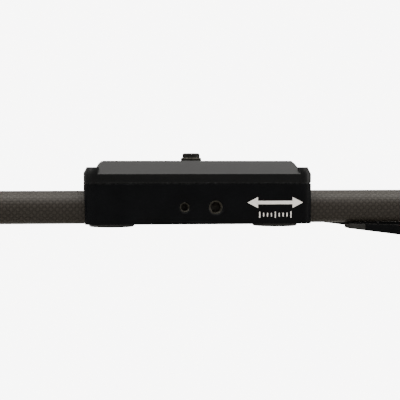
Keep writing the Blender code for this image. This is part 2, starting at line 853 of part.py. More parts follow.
def make_axle(corner, x, y):
    head_top = BEARING_BOTTOM - GAP
    head_bottom = head_top - AXLE_HEAD_HEIGHT
    spacer_top = BODY_TOP - BODY_ROOF - GAP
    key_radius = 2.3 * MM
    key_depth = 2.5 * MM
    profile = [
        (0, AXLE_TOP),
        (AXLE_RADIUS, AXLE_TOP),
        (AXLE_RADIUS, spacer_top),
        (AXLE_SPACER_RADIUS, spacer_top),
        (AXLE_SPACER_RADIUS, BEARING_TOP + GAP),
        (AXLE_RADIUS, BEARING_TOP + GAP),
        (AXLE_RADIUS, head_top),
        (AXLE_HEAD_RADIUS, head_top),
        (AXLE_HEAD_RADIUS, head_bottom),
        (key_radius, head_bottom),
        (key_radius, head_bottom + key_depth),
        (0, head_bottom + key_depth),
    ]
    turned(f"{corner}_axle", profile, BLACK_STEEL, (x, y, 0), steps=14)


def make_camera_stud():
    chamfer = 0.8 * MM
    centre = (CARRIAGE_X, 0, 0)
    profile = [
        (0, STUD_TOP),
        (STUD_RADIUS - chamfer, STUD_TOP),
        (STUD_RADIUS, STUD_TOP - chamfer),
        (STUD_RADIUS, STUD_HEAD_TOP),
        (STUD_HEAD_RADIUS, STUD_HEAD_TOP),
        (STUD_HEAD_RADIUS, STUD_HEAD_BOTTOM),
        (0, STUD_HEAD_BOTTOM),
    ]
    stud = turned("camera_stud", profile, BRIGHT_STEEL, centre)
    reach = STUD_HEAD_RADIUS + OVERSHOOT
    slot = block(
        "coin_slot_cutter",
        (CARRIAGE_X - reach, -COIN_SLOT_WIDTH / 2, STUD_HEAD_BOTTOM - OVERSHOOT),
        (CARRIAGE_X + reach, COIN_SLOT_WIDTH / 2, STUD_HEAD_BOTTOM + COIN_SLOT_DEPTH),
    )
    boolean(stud, slot)


def make_lock_ring():
    inner = STUD_RADIUS + GAP
    low = PLATFORM_TOP - SEAT_DEPTH + GAP
    edge = 0.4 * MM
    profile = [
        (inner, LOCK_RING_TOP),
        (LOCK_RING_RADIUS - edge, LOCK_RING_TOP),
        (LOCK_RING_RADIUS, LOCK_RING_TOP - edge),
        (LOCK_RING_RADIUS, low),
        (inner, low),
    ]
    turned("stud_lock_ring", profile, BLACK_STEEL, (CARRIAGE_X, 0, 0), steps=24)


def make_stud_cap():
    inner = STUD_RADIUS + GAP
    low = LOCK_RING_TOP + GAP
    ceiling = STUD_TOP + GAP
    profile = [(0, CAP_TOP)]
    for step in range(4):
        angle = math.radians(90 - 30 * step)
        radius = CAP_RADIUS - CAP_ROUNDING + CAP_ROUNDING * math.cos(angle)
        profile.append((radius, CAP_TOP - CAP_ROUNDING + CAP_ROUNDING * math.sin(angle)))
    profile += [(CAP_RADIUS, low), (inner, low), (inner, ceiling), (0, ceiling)]
    turned("stud_cap", profile, NYLON, (CARRIAGE_X, 0, 0), steps=24)


def make_brake():
    centre = (CARRIAGE_X, 0, BRAKE_Z)
    rounding = 1.5 * MM
    neck_radius = 7 * MM
    neck_length = 3 * MM
    bore = BRAKE_SHAFT_RADIUS + GAP
    knob = [
        (0, KNOB_OUTER_Y),
        (KNOB_RADIUS - rounding, KNOB_OUTER_Y),
        (KNOB_RADIUS, KNOB_OUTER_Y - rounding),
        (KNOB_RADIUS, KNOB_INNER_Y + neck_length),
        (neck_radius, KNOB_INNER_Y + neck_length),
        (neck_radius, KNOB_INNER_Y),
        (bore, KNOB_INNER_Y),
        (bore, BRAKE_SHAFT_OUTER_Y + GAP),
        (0, BRAKE_SHAFT_OUTER_Y + GAP),
    ]
    turned("brake_knob", knob, NYLON, centre, ALONG_Y, 20)
    rod(
        "brake_shaft",
        BRAKE_SHAFT_RADIUS,
        (CARRIAGE_X, BRAKE_SHAFT_INNER_Y, BRAKE_Z),
        (CARRIAGE_X, BRAKE_SHAFT_OUTER_Y, BRAKE_Z),
        ALONG_Y,
        BRIGHT_STEEL,
        steps=16,
    )
    block(
        "brake_shoe",
        (CARRIAGE_X - SHOE_LENGTH / 2, SHOE_INNER_Y, BRAKE_Z - SHOE_HEIGHT / 2),
        (CARRIAGE_X + SHOE_LENGTH / 2, SHOE_OUTER_Y, BRAKE_Z + SHOE_HEIGHT / 2),
        NYLON,
    )


def make_slider():
    for side, side_sign in SIDES.items():
        make_rail(side, side_sign)
    for end, end_sign in ENDS.items():
        make_bracket(end, end_sign)
        make_end_cover(end, end_sign)
        for side, side_sign in SIDES.items():
            place_of_corner = (end, end_sign, side, side_sign)
            make_bumper(*place_of_corner)
            make_clamp_screw(*place_of_corner)
            make_leg(*place_of_corner)
            make_leg_pivot(*place_of_corner)
            make_foot(*place_of_corner)
    make_carriage_body()
    make_top_plate()
    for corner, x, y in roller_places():
        make_roller(corner, x, y)
        make_axle(corner, x, y)
    make_camera_stud()
    make_lock_ring()
    make_stud_cap()
    make_brake()


make_slider()
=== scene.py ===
"""The looks of the camera slider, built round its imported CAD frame.

Metres. +X runs along the rails, -Y is the front and +Z is up.
"""

import math

import bmesh
import bpy
from mathutils import Matrix, Vector


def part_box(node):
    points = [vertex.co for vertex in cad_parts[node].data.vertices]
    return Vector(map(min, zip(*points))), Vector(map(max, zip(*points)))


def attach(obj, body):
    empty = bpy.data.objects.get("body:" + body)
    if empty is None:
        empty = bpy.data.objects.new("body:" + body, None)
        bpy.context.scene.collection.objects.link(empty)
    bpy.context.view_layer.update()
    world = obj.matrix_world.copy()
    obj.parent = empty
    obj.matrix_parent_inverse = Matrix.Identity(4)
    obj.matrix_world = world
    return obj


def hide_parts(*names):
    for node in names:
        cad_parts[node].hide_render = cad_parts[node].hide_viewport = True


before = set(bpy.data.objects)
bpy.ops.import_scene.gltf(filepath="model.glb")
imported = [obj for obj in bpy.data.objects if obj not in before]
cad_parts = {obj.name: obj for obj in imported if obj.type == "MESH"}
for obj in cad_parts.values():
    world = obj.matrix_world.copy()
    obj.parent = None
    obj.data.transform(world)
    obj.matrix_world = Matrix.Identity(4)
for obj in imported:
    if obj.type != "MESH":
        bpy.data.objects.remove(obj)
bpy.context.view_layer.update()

MM = 0.001
GAP = 0.3 * MM  # between pieces that would otherwise touch
FAR = 5 * MM  # how far a cutting tool reaches past what it cuts
COARSE_PITCH = 1.5875 * MM  # a 3/8"-16 thread
FINE_PITCH = 1.27 * MM  # a 1/4"-20 thread
ENDS = {"left": -1, "right": 1}
SIDES = {"front": -1, "rear": 1}


# ---- materials


def add_node(tree, kind, inputs=None, **settings):
    """A node with its settings, and with each input set to a value or linked to a socket."""
    node = tree.nodes.new(kind)
    for key, value in settings.items():
        setattr(node, key, value)
    for key, value in (inputs or {}).items():
        if isinstance(value, bpy.types.NodeSocket):
            tree.links.new(value, node.inputs[key])
        else:
            node.inputs[key].default_value = value
    return node


def math_node(tree, operation, *values):
    return add_node(
        tree, "ShaderNodeMath", dict(enumerate(values)), operation=operation
    ).outputs[0]


def map_range(tree, value, from_low, from_high, to_low, to_high):
    inputs = dict(enumerate((value, from_low, from_high, to_low, to_high)))
    return add_node(tree, "ShaderNodeMapRange", inputs).outputs[0]


def mix_colour(tree, factor, first, second):
    """Between two colours, each a socket or three numbers."""
    first, second = (
        (*colour, 1) if isinstance(colour, tuple) else colour for colour in (first, second)
    )
    inputs = {0: factor, 6: first, 7: second}
    return add_node(tree, "ShaderNodeMix", inputs, data_type="RGBA").outputs[2]


def mix_value(tree, factor, first, second):
    inputs = {0: factor, 2: first, 3: second}
    return add_node(tree, "ShaderNodeMix", inputs, data_type="FLOAT").outputs[0]


def noise(tree, vector, scale, detail=2.0, roughness=0.5):
    inputs = {"Vector": vector, "Scale": scale, "Detail": detail, "Roughness": roughness}
    return add_node(tree, "ShaderNodeTexNoise", inputs).outputs["Fac"]


def stretched(tree, vector, scale):
    """The coordinates scaled apart on each axis."""
    return add_node(
        tree, "ShaderNodeVectorMath", {0: vector, 1: scale}, operation="MULTIPLY"
    ).outputs["Vector"]


def bump(tree, height, distance, strength=1.0, normal=None):
    inputs = {"Height": height, "Distance": distance, "Strength": strength}
    if normal is not None:
        inputs["Normal"] = normal
    return add_node(tree, "ShaderNodeBump", inputs).outputs["Normal"]


def edge_wear(tree, vector, radius):
    """Up to 1 along edges, broken up by noise, and 0 on flats."""
    rounded = add_node(tree, "ShaderNodeBevel", {"Radius": radius}, samples=4).outputs[0]
    true = add_node(tree, "ShaderNodeNewGeometry").outputs["Normal"]
    facing = add_node(
        tree, "ShaderNodeVectorMath", {0: rounded, 1: true}, operation="DOT_PRODUCT"
    ).outputs["Value"]
    unworn, worn = 0.985, 0.86  # cosines of the turn of the normal
    edge = map_range(tree, facing, unworn, worn, 0.0, 1.0)
    patches = map_range(tree, noise(tree, vector, 420.0, 3.0), 0.42, 0.66, 0.15, 1.0)
    return math_node(tree, "MULTIPLY", edge, patches)


def new_material(name, **constants):
    """(material, tree, shader, object coordinates), with constants on the shader's own sockets."""
    material = bpy.data.materials.new(name)
    material.use_nodes = True
    tree = material.node_tree
    shader = tree.nodes["Principled BSDF"]
    for key, value in constants.items():
        shader.inputs[key.replace("_", " ")].default_value = value
    vector = add_node(tree, "ShaderNodeTexCoord").outputs["Object"]
    return material, tree, shader, vector


def shade(tree, shader, **links):
    for key, value in links.items():
        tree.links.new(value, shader.inputs[key.replace("_", " ")])


def anodised_material(name, dark, light, worn, roughness, level):
    """Bead-blasted black anodised aluminium: fine grain, faint clouds, and paler edges that are
    partly rubbed wear and partly a painted highlight.
    """
    material, tree, shader, vector = new_material(name, IOR=1.45, Specular_IOR_Level=level)
    clouds = map_range(tree, noise(tree, vector, 55.0, 4.0, 0.6), 0.3, 0.7, 0.0, 1.0)
    base = mix_colour(tree, clouds, dark, light)
    wear = edge_wear(tree, vector, 0.45 * MM)
    speckle = noise(tree, vector, 2600.0, 2.0)
    low, high = roughness
    blast = map_range(tree, speckle, 0.3, 0.7, low, high)
    worn_roughness = low - 0.06
    # The paler edge colour is partly wear and partly a painted highlight along the edges.
    shade(
        tree,
        shader,
        Base_Color=mix_colour(tree, wear, base, worn),
        Roughness=mix_value(tree, wear, blast, worn_roughness),
        Normal=bump(tree, speckle, 0.02 * MM, 0.35),
    )
    return material


def carbon_material(name):
    """A plain weave of flat tows under satin resin, the tows along the tube painted lighter than
    the tows round it as a painted sheen. Its UVs are metres along and round the tube.
    """
    tow_width = 2.1 * MM
    material, tree, shader, vector = new_material(name, IOR=1.5, Specular_IOR_Level=0.08)
    uv = add_node(tree, "ShaderNodeTexCoord").outputs["UV"]
    parts = add_node(tree, "ShaderNodeSeparateXYZ", {0: uv})
    wobble = noise(tree, stretched(tree, uv, (160.0, 160.0, 1.0)), 1.0, 2.0)
    shift = map_range(tree, wobble, 0.3, 0.7, -0.08, 0.08)
    cells = []
    arches = []
    for distance in parts.outputs[0], parts.outputs[1]:
        tows = math_node(tree, "ADD", math_node(tree, "DIVIDE", distance, tow_width), shift)
        cells.append(math_node(tree, "FLOOR", tows))
        across = math_node(tree, "FRACT", tows)
        arches.append(math_node(tree, "SINE", math_node(tree, "MULTIPLY", across, math.pi)))
    parity = math_node(tree, "FLOORED_MODULO", math_node(tree, "ADD", *cells), 2.0)
    arch_along, arch_round = arches
    crown = mix_value(tree, parity, arch_round, arch_along)
    rise = mix_value(tree, parity, arch_along, arch_round)
    crown = math_node(tree, "POWER", crown, 0.5)
    height = math_node(tree, "MULTIPLY", crown, map_range(tree, rise, 0.0, 1.0, 0.35, 1.0))
    warp_lines = noise(tree, stretched(tree, uv, (500.0, 9000.0, 1.0)), 1.0, 1.0)
    weft_lines = noise(tree, stretched(tree, uv, (9000.0, 500.0, 1.0)), 1.0, 1.0)
    lines = mix_value(tree, parity, warp_lines, weft_lines)
    fibre = map_range(tree, lines, 0.3, 0.7, 0.0, 1.0)
    # Painted sheen: tows along the tube get a lighter colour and tows round it a darker one,
    # standing in for how the fibres reflect light in each direction.
    lit_warp_colour = mix_colour(tree, fibre, (0.0265, 0.0237, 0.0205), (0.0375, 0.0336, 0.0292))
    shaded_weft_colour = mix_colour(tree, fibre, (0.0188, 0.0166, 0.0142), (0.0273, 0.0244, 0.0210))
    tows = mix_colour(tree, parity, lit_warp_colour, shaded_weft_colour)
    gaps = map_range(tree, height, 0.0, 0.45, 0.0, 1.0)
    woven = mix_colour(tree, gaps, (0.009, 0.0081, 0.0072), tows)
    relief = math_node(tree, "ADD", height, math_node(tree, "MULTIPLY", fibre, 0.08))
    scuffs = map_range(tree, noise(tree, vector, 70.0, 4.0, 0.65), 0.35, 0.7, 0.36, 0.52)
    shade(
        tree,
        shader,
        Base_Color=woven,
        Roughness=scuffs,
        Normal=bump(tree, relief, 0.11 * MM, 0.8),
    )
    return material


def steel_material(name, dark, light, roughness, lines):
    """Turned or blackened steel: a blotchy finish, and tool marks at a scale for each axis."""
    material, tree, shader, vector = new_material(name, Metallic=1.0)
    blotches = map_range(tree, noise(tree, vector, 260.0, 4.0, 0.6), 0.32, 0.68, 0.0, 1.0)
    marks = noise(tree, stretched(tree, vector, lines), 1.0, 1.0)
    low, high = roughness
    wear = math_node(tree, "MULTIPLY", edge_wear(tree, vector, 0.25 * MM), 0.5)
    bare_steel = (0.42, 0.41, 0.39)
    shade(
        tree,
        shader,
        Base_Color=mix_colour(tree, wear, mix_colour(tree, blotches, dark, light), bare_steel),
        Roughness=map_range(tree, marks, 0.3, 0.7, low, high),
        Normal=bump(tree, marks, 0.01 * MM, 0.3),
    )
    return material


def polymer_material(name, dark, light, roughness, grain, depth, level):
    """Moulded rubber or nylon: a fine surface grain, and a slightly uneven sheen."""
    material, tree, shader, vector = new_material(name, Specular_IOR_Level=level)
    clouds = map_range(tree, noise(tree, vector, 130.0, 4.0, 0.65), 0.3, 0.7, 0.0, 1.0)
    texture = noise(tree, vector, grain, 3.0, 0.6)
    low, high = roughness
    shade(
        tree,
        shader,
        Base_Color=mix_colour(tree, clouds, dark, light),
        Roughness=map_range(tree, texture, 0.3, 0.7, low, high),
        Normal=bump(tree, texture, depth, 0.5),
    )
    return material


def print_material(name):
    """Screen-printed white ink, with a dry, slightly uneven coat."""
    material, tree, shader, vector = new_material(name, Specular_IOR_Level=0.3)
    coat = noise(tree, vector, 1500.0, 3.0)
    patchy = map_range(tree, coat, 0.3, 0.7, 0.0, 1.0)
    shade(
        tree,
        shader,
        Base_Color=mix_colour(tree, patchy, (0.80, 0.78, 0.74), (0.90, 0.89, 0.86)),
        Roughness=map_range(tree, coat, 0.3, 0.7, 0.5, 0.7),
        Normal=bump(tree, coat, 0.01 * MM, 0.4),
    )
    return material


ANODISED = anodised_material(
    "anodised_black",
    dark=(0.0018, 0.0020, 0.0025), light=(0.0033, 0.0036, 0.0043),
    worn=(0.03, 0.031, 0.034),
    roughness=(0.36, 0.44), level=0.05,
)
PLATE_BLACK = anodised_material(
    "anodised_plate",
    dark=(0.0017, 0.0019, 0.0022), light=(0.0031, 0.0033, 0.0038),
    worn=(0.04, 0.041, 0.044),
    roughness=(0.34, 0.42), level=0.15,
)
CARBON = carbon_material("carbon_weave")
BLACK_STEEL = steel_material(
    "steel_blackened",
    dark=(0.020, 0.019, 0.016), light=(0.045, 0.043, 0.036),
    roughness=(0.34, 0.5),
    lines=(900.0, 900.0, 5000.0),
)
BRIGHT_STEEL = steel_material(
    "steel_turned",
    dark=(0.42, 0.42, 0.41), light=(0.62, 0.62, 0.60),
    roughness=(0.2, 0.36),
    lines=(700.0, 700.0, 6000.0),
)
BEARING_STEEL = steel_material(
    "steel_bearing",
    dark=(0.38, 0.39, 0.40), light=(0.58, 0.58, 0.58),
    roughness=(0.16, 0.3),
    lines=(3000.0, 3000.0, 800.0),
)
RUBBER = polymer_material(
    "rubber_black",
    dark=(0.010, 0.010, 0.0095), light=(0.018, 0.0175, 0.0165),
    roughness=(0.62, 0.82),
    grain=2400.0, depth=0.05 * MM, level=0.25,
)
CAP_PLASTIC = polymer_material(
    "cap_plastic",
    dark=(0.0035, 0.0035, 0.0025), light=(0.008, 0.008, 0.006),
    roughness=(0.48, 0.64),
    grain=1500.0, depth=0.06 * MM, level=0.15,
)
NYLON = polymer_material(
    "nylon_black",
    dark=(0.008, 0.008, 0.0085), light=(0.013, 0.013, 0.0135),
    roughness=(0.38, 0.52),
    grain=3400.0, depth=0.03 * MM, level=0.35,
)
SEAL = polymer_material(
    "bearing_seal",
    dark=(0.010, 0.010, 0.010), light=(0.017, 0.016, 0.015),
    roughness=(0.5, 0.62),
    grain=3000.0, depth=0.02 * MM, level=0.3,
)
WHITE_INK = print_material("white_ink")


# ---- mesh tools


def eased(points, size, closed=False, steps=4):
    """The outline with its corners rounded off by up to this radius."""
    nearly_straight = math.radians(172)
    longest_share = 0.48
    result = []
    count = len(points)
    for index, point in enumerate(points):
        here = Vector(point)
        if not closed and index in (0, count - 1):
            result.append(tuple(here))
            continue
        before = Vector(points[index - 1]) - here
        after = Vector(points[(index + 1) % count]) - here
        angle = before.angle(after)
        if angle > nearly_straight:
            result.append(tuple(here))
            continue
        longest = longest_share * min(before.length, after.length)
        reach = min(size / math.tan(angle / 2), longest)
        start = here + before.normalized() * reach
        end = here + after.normalized() * reach
        for step in range(steps + 1):
            share = step / steps
            result.append(tuple(start.lerp(here, share).lerp(here.lerp(end, share), share)))
    return result


def spun(profile, steps, closed=False, relief=None):
    """A (radius, height) profile turned about Z.

    The profile starts and ends on the axis, unless it is closed. relief(radius, height, angle)
    gives the radius at a place, for knurls, lobes and threads.
    """
    shape = bmesh.new()
    rings = []
    for radius, height in profile:
        if radius < 0.001 * MM:
            rings.append([shape.verts.new((0, 0, height))])
            continue
        ring = []
        for step in range(steps):
            angle = math.tau * step / steps
            here = relief(radius, height, angle) if relief else radius
            ring.append(shape.verts.new((here * math.cos(angle), here * math.sin(angle), height)))
        rings.append(ring)
    pairs = list(zip(rings, rings[1:]))
    if closed:
        pairs.append((rings[-1], rings[0]))
    for first, second in pairs:
        for step in range(steps):
            after = (step + 1) % steps
            corners = [
                first[step % len(first)],
                first[after % len(first)],
                second[after % len(second)],
                second[step % len(second)],
            ]
            corners = list(dict.fromkeys(corners))
            if len(corners) > 2:
                shape.faces.new(corners)
    bmesh.ops.recalc_face_normals(shape, faces=shape.faces)
    return shape


def slab(outline, low, high, axis):
    """An outline thickened along an axis. Its points are (y, z), (x, z) or (x, y) for X, Y or Z."""
    put = {
        "X": lambda a, b, c: (c, a, b),
        "Y": lambda a, b, c: (a, c, b),
        "Z": lambda a, b, c: (a, b, c),
    }[axis]
    shape = bmesh.new()
    near = [shape.verts.new(put(a, b, low)) for a, b in outline]
    far = [shape.verts.new(put(a, b, high)) for a, b in outline]
    shape.faces.new(near)
    shape.faces.new(far)
    for index in range(len(outline)):
        after = (index + 1) % len(outline)
        shape.faces.new((near[index], near[after], far[after], far[index]))
    bmesh.ops.recalc_face_normals(shape, faces=shape.faces)
    return shape


def brick(low, high):
    """A box between two opposite corners."""
    outline = [(low[0], low[1]), (high[0], low[1]), (high[0], high[1]), (low[0], high[1])]
    return slab(outline, low[2], high[2], "Z")


def laid(shape, centre, axis=(0, 0, 1)):
    """Turns a shape made about Z onto another axis, and moves it into place."""
    turn = Vector((0, 0, 1)).rotation_difference(Vector(axis)).to_matrix().to_4x4()
    shape.transform(Matrix.Translation(centre) @ turn)
    return shape


def rod(radius, start, end, steps=48):
    """A round tool between two points."""
    along = Vector(end) - Vector(start)
    profile = [(0, 0), (radius, 0), (radius, along.length), (0, along.length)]
    return laid(spun(profile, steps), start, along)


def as_object(name, shape, material=None):
    mesh = bpy.data.meshes.new(name)
    shape.to_mesh(mesh)
    shape.free()
    if material is not None:
        mesh.materials.append(material)
    thing = bpy.data.objects.new(name, mesh)
    bpy.context.scene.collection.objects.link(thing)
    return thing


def cut(thing, *tools, operation="DIFFERENCE"):
    """Applies Booleans to an object, then clears the points and seams left on its flat faces."""
    helpers = [as_object(f"{thing.name}_tool", tool) for tool in tools]
    for helper in helpers:
        modifier = thing.modifiers.new(helper.name, "BOOLEAN")
        modifier.operation = operation
        modifier.solver = "EXACT"
        modifier.object = helper
    bpy.context.view_layer.update()
    graph = bpy.context.evaluated_depsgraph_get()
    mesh = bpy.data.meshes.new_from_object(thing.evaluated_get(graph))
    thing.modifiers.clear()
    thing.data = mesh
    for helper in helpers:
        bpy.data.objects.remove(helper, do_unlink=True)
    shape = bmesh.new()
    shape.from_mesh(mesh)
    bmesh.ops.remove_doubles(shape, verts=shape.verts, dist=0.002 * MM)
    bmesh.ops.dissolve_limit(
        shape, angle_limit=math.radians(0.4), verts=shape.verts, edges=shape.edges
    )
    shape.to_mesh(mesh)
    shape.free()
    return thing


def smooth(thing, angle=32):
    thing.data.shade_smooth()
    thing.data.set_sharp_from_angle(angle=math.radians(angle))


def add_bevel(thing, width, segments, angle):
    """Rounds the sharp edges, with normals that keep the flats flat."""
    bevel = thing.modifiers.new("soften", "BEVEL")
    bevel.width = width
    bevel.segments = segments
    bevel.limit_method = "ANGLE"
    bevel.angle_limit = math.radians(angle)
    bevel.harden_normals = True
    return bevel


def soften(thing, width, segments=3):
    smooth(thing)
    add_bevel(thing, width, segments, 32).miter_outer = "MITER_ARC"


def finish_piece(thing, body, *nodes):
    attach(thing, body)
    if nodes:
        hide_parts(*nodes)
    return thing


def piece(name, shape, material, body, *nodes):
    thing = as_object(name, shape, material)
    smooth(thing)
    return finish_piece(thing, body, *nodes)


def half_size(node, axis):
    low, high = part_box(node)
    return (high[axis] - low[axis]) / 2


def middle(node):
    low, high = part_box(node)
    return (low + high) / 2


def thread_relief(threaded_radius, depth, pitch, low, high, internal):
    """A relief function that winds a thread over the heights between low and high."""
    flat = 0.12  # the share that the crest and the root each cut off the wave

    def relief(radius, height, angle):
        if abs(radius - threaded_radius) > 0.01 * MM or not low <= height <= high:
            return radius
        phase = (height / pitch - angle / math.tau) % 1
        wave = min(1, max(0, (abs(2 * phase - 1) - flat) / (1 - 2 * flat)))
        if internal:
            return radius + depth * wave
        lead_in = min(height - low, high - height)
        return min(radius - depth * wave, radius - depth + lead_in)

    return relief


def thread_heights(pitch, start, end):
    """Heights that are close enough together to draw a thread."""
    rows = max(8, int(abs(end - start) / pitch * 12))
    return [start + (end - start) * row / rows for row in range(rows + 1)]


def threaded_rod(radius, depth, pitch, low, high, steps=64):
    heights = thread_heights(pitch, low, high)
    profile = [(0, low), *[(radius, height) for height in heights], (0, high)]
    return spun(profile, steps, relief=thread_relief(radius, depth, pitch, low, high, False))


def threaded_bush(minor, outer, depth, pitch, high, steps=64):
    """A sleeve from height 0 with a thread in its bore."""
    heights = thread_heights(pitch, high, 0)
    profile = [(outer, 0), (outer, high), *[(minor, height) for height in heights]]
    return spun(profile, steps, True, thread_relief(minor, depth, pitch, 0, high, True))


def socket_screw(name, shape, across_flats, depth, place, axis, body, *nodes):
    """A turned screw with a hexagon socket cut into the face of its head."""
    radius = across_flats / math.sqrt(3)
    profile = [(0, -depth), (radius, -depth), (radius, depth), (0, depth)]
    screw = as_object(name, shape, BLACK_STEEL)
    cut(screw, laid(spun(profile, 6), place, axis))
    smooth(screw)
    finish_piece(screw, body, *nodes)


def knurled(count, depth, outer, tolerance=0.35 * MM, low=-math.inf, high=math.inf):
    """A relief function that cuts straight ribs into the outermost part of a turned piece."""

    def relief(radius, height, angle):
        if radius < outer - tolerance or not low <= height <= high:
            return radius
        phase = (angle * count / math.tau) % 1
        return radius - depth * abs(2 * phase - 1)

    return relief


# ---- rails


TUBE_RADIUS = half_size("front_rail_tube", 2)


def make_tube(side):
    """A tube with UVs in metres, so that its weave has one size all over."""
    node = f"{side}_rail_tube"
    radius = TUBE_RADIUS
    wall = 1.5 * MM
    ease = 0.3 * MM
    half = half_size(node, 0)
    profile = [
        (radius, -half + ease),
        (radius, half - ease),
        (radius - ease, half),
        (radius - wall, half),
        (radius - wall, -half),
        (radius - ease, -half),
    ]
    shape = spun(profile, 144, closed=True)
    layer = shape.loops.layers.uv.new("weave")
    for face in shape.faces:
        centre = face.calc_center_median()
        middle_angle = math.atan2(centre.y, centre.x)
        for loop in face.loops:
            x, y, z = loop.vert.co
            turned = math.atan2(y, x) - middle_angle
            angle = middle_angle + (turned + math.pi) % math.tau - math.pi
            outward = math.hypot(x, y) - radius
            loop[layer].uv = (z + outward, angle * radius)
    laid(shape, middle(node), (1, 0, 0))
    piece(f"{side}_tube_woven", shape, CARBON, "rails", node)


def make_bumper(side, end):
    """A rubber ring with a shallow groove round its middle."""
    node = f"{side}_{end}_bumper"
    half = half_size(node, 0)
    outer = half_size(node, 2)
    inner = TUBE_RADIUS + GAP
    groove = 0.5 * MM
    upper = [
        (inner, half),
        (outer - 1.4 * MM, half),
        (outer, half - 1.2 * MM),
        (outer, groove * 1.5),
        (outer - groove, groove * 0.6),
    ]
    profile = upper + [(radius, -height) for radius, height in reversed(upper)]
    shape = laid(spun(eased(profile, 0.4 * MM, True), 72, True), middle(node), (1, 0, 0))
    piece(f"{node}_ring", shape, RUBBER, "rails", node)


def make_clamp_screw(side, end):
    """A cap screw with a knurled head."""
    node = f"{side}_{end}_clamp_screw"
    low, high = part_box(node)
    centre = middle(node)
    radius = half_size(node, 0)
    head_bottom = high.z - 4 * MM
    shank = 2.1 * MM
    profile = [
        (0, high.z),
        (radius, high.z),
        (radius, head_bottom),
        (shank, head_bottom),
        (shank, low.z),
        (0, low.z),
    ]
    shape = spun(
        eased(profile, 0.35 * MM), 96, relief=knurled(32, 0.12 * MM, radius, 0.05 * MM)
    )
    laid(shape, (centre.x, centre.y, 0))
    name = f"{node}_socket_head"
    place = (centre.x, centre.y, high.z)
    socket_screw(name, shape, 3 * MM, 2.2 * MM, place, (0, 0, 1), "rails", node)


def make_leg_pivot(side, end):
    """A shoulder screw with its head on the bracket's outer face."""
    node = f"{side}_{end}_leg_pivot"
    low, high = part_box(node)
    centre = middle(node)
    sign = SIDES[side]
    outer_y = high.y if sign > 0 else -low.y
    inner_y = low.y if sign > 0 else -high.y
    radius = half_size(node, 0)
    shank = 2.5 * MM
    head = outer_y - 2.8 * MM
    profile = [
        (0, outer_y),
        (radius, outer_y),
        (radius, head),
        (shank, head),
        (shank, inner_y),
        (0, inner_y),
    ]
    shape = laid(spun(eased(profile, 0.5 * MM), 64), (centre.x, 0, centre.z), (0, sign, 0))
    name = f"{node}_socket_head"
    place = (centre.x, sign * outer_y, centre.z)
    socket_screw(name, shape, 3 * MM, 1.9 * MM, place, (0, 1, 0), "rails", node)


def soften_cad(node, material, width, angle=32):
    """Keeps a CAD node, with its flat faces joined up and its edges rounded by modifiers."""
    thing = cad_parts[node]
    for index in range(len(thing.data.materials)):
        thing.data.materials[index] = material
    weld = thing.modifiers.new("weld", "WELD")
    weld.merge_threshold = 0.002 * MM
    flats = thing.modifiers.new("flats", "DECIMATE")
    flats.decimate_type = "DISSOLVE"
    flats.angle_limit = math.radians(0.6)
    add_bevel(thing, width, 3, angle)


def make_end_cover(end):
    """A cover plate with four countersunk screws."""
    node = f"{end}_end_cover"
    low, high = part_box(node)
    sign = ENDS[end]
    corners = [(high.y, low.z), (high.y, high.z), (low.y, high.z), (low.y, low.z)]
    outline = eased(corners, 6 * MM, True, 8)
    plate = as_object(f"{node}_plate", slab(outline, low.x, high.x, "X"), ANODISED)
    face_x = high.x if sign > 0 else low.x
    inset = 7 * MM
    head_radius = 3.1 * MM
    head_depth = 2 * MM
    shank = 1.6 * MM
    shank_end = -3.6 * MM
    hole_end = -5 * MM
    sunk = 0.15 * MM
    clear = 0.1 * MM
    spots = [
        (y, z)
        for y in (low.y + inset, high.y - inset)
        for z in (low.z + inset, high.z - inset)
    ]
    countersink = [
        (0, 1 * MM),
        (head_radius + clear, 1 * MM),
        (head_radius + clear, -0.2 * MM),
        (shank + clear, -head_depth),
        (shank + clear, hole_end),
        (0, hole_end),
    ]
    cut(plate, *[laid(spun(countersink, 40), (face_x, y, z), (sign, 0, 0)) for y, z in spots])
    soften(plate, 0.5 * MM)
    finish_piece(plate, "rails", node)
    profile = [
        (0, -sunk),
        (head_radius - 0.1 * MM, -sunk),
        (head_radius, -sunk - 0.2 * MM),
        (shank, -head_depth),
        (shank, shank_end),
        (0, shank_end),
    ]
    for index, (y, z) in enumerate(spots):
        place = (face_x, y, z)
        shape = laid(spun(eased(profile, 0.15 * MM), 48), place, (sign, 0, 0))
        name = f"{end}_cover_screw_{index + 1}"
        socket_screw(name, shape, 2 * MM, 1.3 * MM, place, (1, 0, 0), "rails")


# ---- legs and feet


